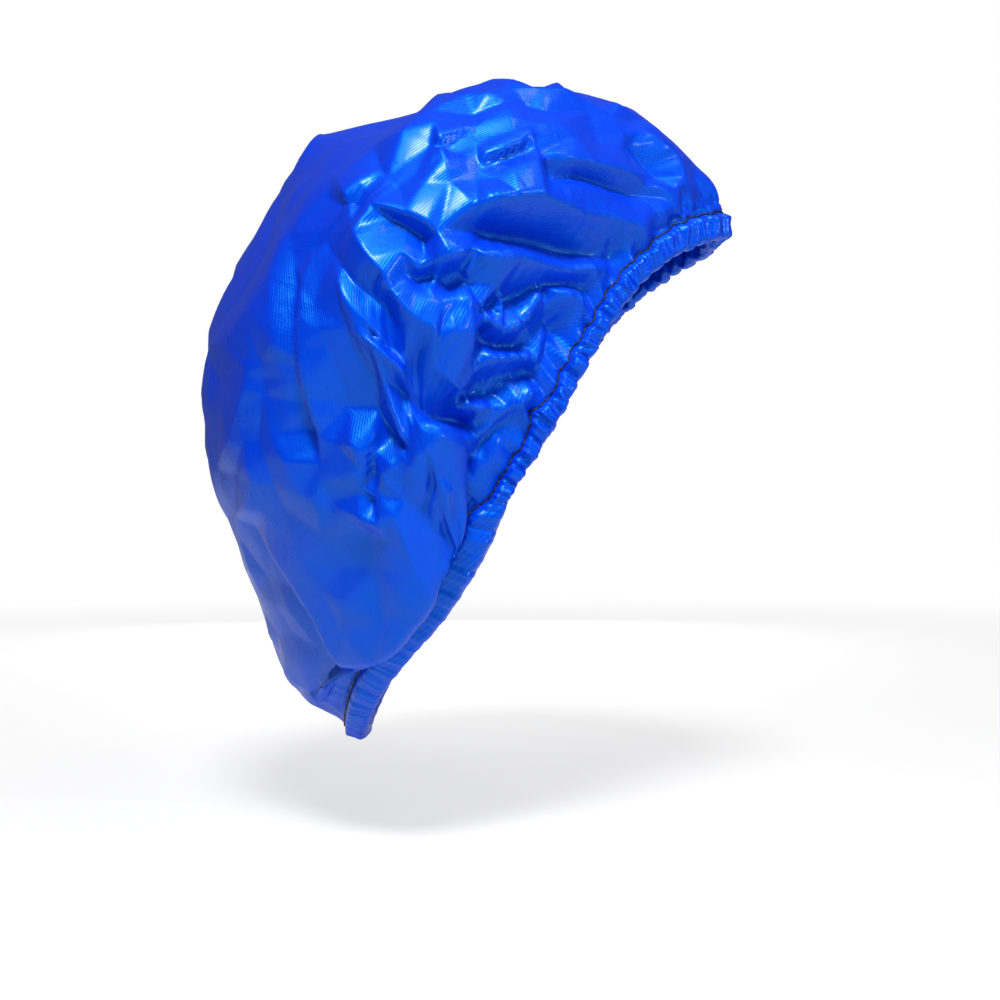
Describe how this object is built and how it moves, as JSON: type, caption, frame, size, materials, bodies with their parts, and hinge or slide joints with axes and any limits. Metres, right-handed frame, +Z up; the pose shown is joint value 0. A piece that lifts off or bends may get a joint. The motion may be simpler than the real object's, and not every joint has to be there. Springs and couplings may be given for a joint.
{
  "type": "perm cap",
  "caption": "Loose bag-shaped salon cap of thin coated cloth, its turned edge gathered on an elastic that grips round the hairline from forehead to nape.",
  "frame": {"origin": "middle of the head opening, midway between the forehead and nape stitches", "axes": "as worn on an upright head: +X the way the face looks, +Y the wearer's left, +Z up"},
  "size_m": [0.2138, 0.2173, 0.2652],
  "materials": {
    "coated_cloth": "royal blue vinyl-coated cloth, glossy over a fine diagonal weave, creased",
    "hem_cloth": "the same glossy coated cloth, turned in and ruffled",
    "elastic": "matt off-white braided elastic",
    "join_thread": "matt off-white sewing thread",
    "black_thread": "soft-sheen black sewing thread"
  },
  "bodies": {
    "root": {"crown_panel": "coated_cloth", "hem_casing": "hem_cloth", "elastic_band": "elastic", "elastic_join_stitch": "join_thread", "hem_needle_thread": "black_thread", "hem_bobbin_thread": "black_thread"}
  },
  "joints": []
}
